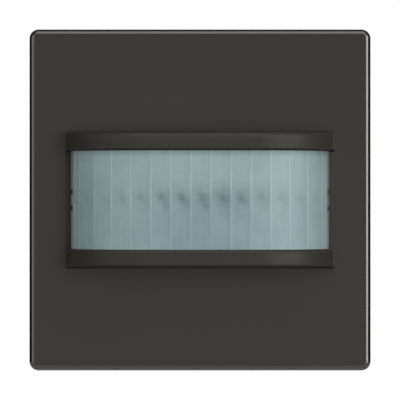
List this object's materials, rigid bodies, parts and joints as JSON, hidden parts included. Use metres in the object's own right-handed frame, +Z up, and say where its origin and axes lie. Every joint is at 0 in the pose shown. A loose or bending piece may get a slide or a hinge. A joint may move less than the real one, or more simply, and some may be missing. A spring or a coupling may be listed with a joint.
{
  "type": "motion sensor",
  "caption": "Square flush-mounted passive infrared motion sensor head with a bowed lens across the plate, a plug-in rear housing and two turning adjusters.",
  "frame": {"origin": "centre of the cover plate's rear rim, the plane that rests on the wall frame", "axes": "-Y looks into the room, +Z up, +X to the right as seen from the room"},
  "size_m": [0.063, 0.039, 0.063],
  "materials": {
    "cover_plastic": "fine matt anthracite, moulded",
    "lens_plastic": "milky blue-grey polyethylene, translucent",
    "chamber_plastic": "matt black, moulded",
    "housing_plastic": "fine matt graphite grey, moulded",
    "plug_plastic": "black glass-filled moulding",
    "knob_plastic": "light grey, moulded",
    "trimmer_plastic": "black moulding",
    "rotor_plastic": "white moulding",
    "board_laminate": "green solder mask on glass-fibre laminate",
    "chip_epoxy": "black moulded epoxy",
    "resistor_ceramic": "black glaze between tinned ends",
    "capacitor_ceramic": "tan ceramic between tinned ends",
    "tinned_lead": "tinned, satin",
    "gold_contact": "thin gold plating",
    "can_nickel": "nickel-plated drawn steel",
    "filter_silicon": "dark coated silicon",
    "storage_sleeve": "dark sleeve with a bare metal top",
    "resonator_metal": "plated lid",
    "lamp_epoxy": "clear epoxy in a white package",
    "sensor_epoxy": "dark tinted epoxy",
    "spring_steel": "bright spring steel",
    "screw_steel": "zinc-plated"
  },
  "bodies": {
    "root": {"cover_plate": "cover_plastic", "lens_hood": "cover_plastic", "fresnel_lens": "lens_plastic", "lens_retainer": "chamber_plastic", "detector_holder": "chamber_plastic", "detector_can": "can_nickel", "detector_filter": "filter_silicon", "detector_leads": "tinned_lead", "circuit_board": "board_laminate", "controller_chip": "chip_epoxy", "amplifier_chip": "chip_epoxy", "chip_leads": "tinned_lead", "voltage_regulator": "chip_epoxy", "chip_resistors": "resistor_ceramic", "chip_capacitors": "capacitor_ceramic", "storage_capacitors": "storage_sleeve", "resonator": "resonator_metal", "status_lamp": "lamp_epoxy", "dusk_sensor": "sensor_epoxy", "delay_trimmer_body": "trimmer_plastic", "dusk_trimmer_body": "trimmer_plastic", "plug_body": "plug_plastic", "plug_pins": "gold_contact", "rear_housing": "housing_plastic", "left_spring_clip": "spring_steel", "right_spring_clip": "spring_steel", "cover_screws": "screw_steel"},
    "delay_dial": {"delay_trimmer_rotor": "rotor_plastic", "delay_knob": "knob_plastic"},
    "dusk_dial": {"dusk_trimmer_rotor": "rotor_plastic", "dusk_knob": "knob_plastic"}
  },
  "joints": [
    {"name": "delay_dial_turn", "type": "hinge", "parent": "root", "child": "delay_dial", "pos_m": [0.011, 0.0138, 0.0105], "axis": [0, 1, 0], "range_deg": [-117.5, 117.5]},
    {"name": "dusk_dial_turn", "type": "hinge", "parent": "root", "child": "dusk_dial", "pos_m": [-0.011, 0.0138, 0.0105], "axis": [0, 1, 0], "range_deg": [-117.5, 117.5]}
  ]
}
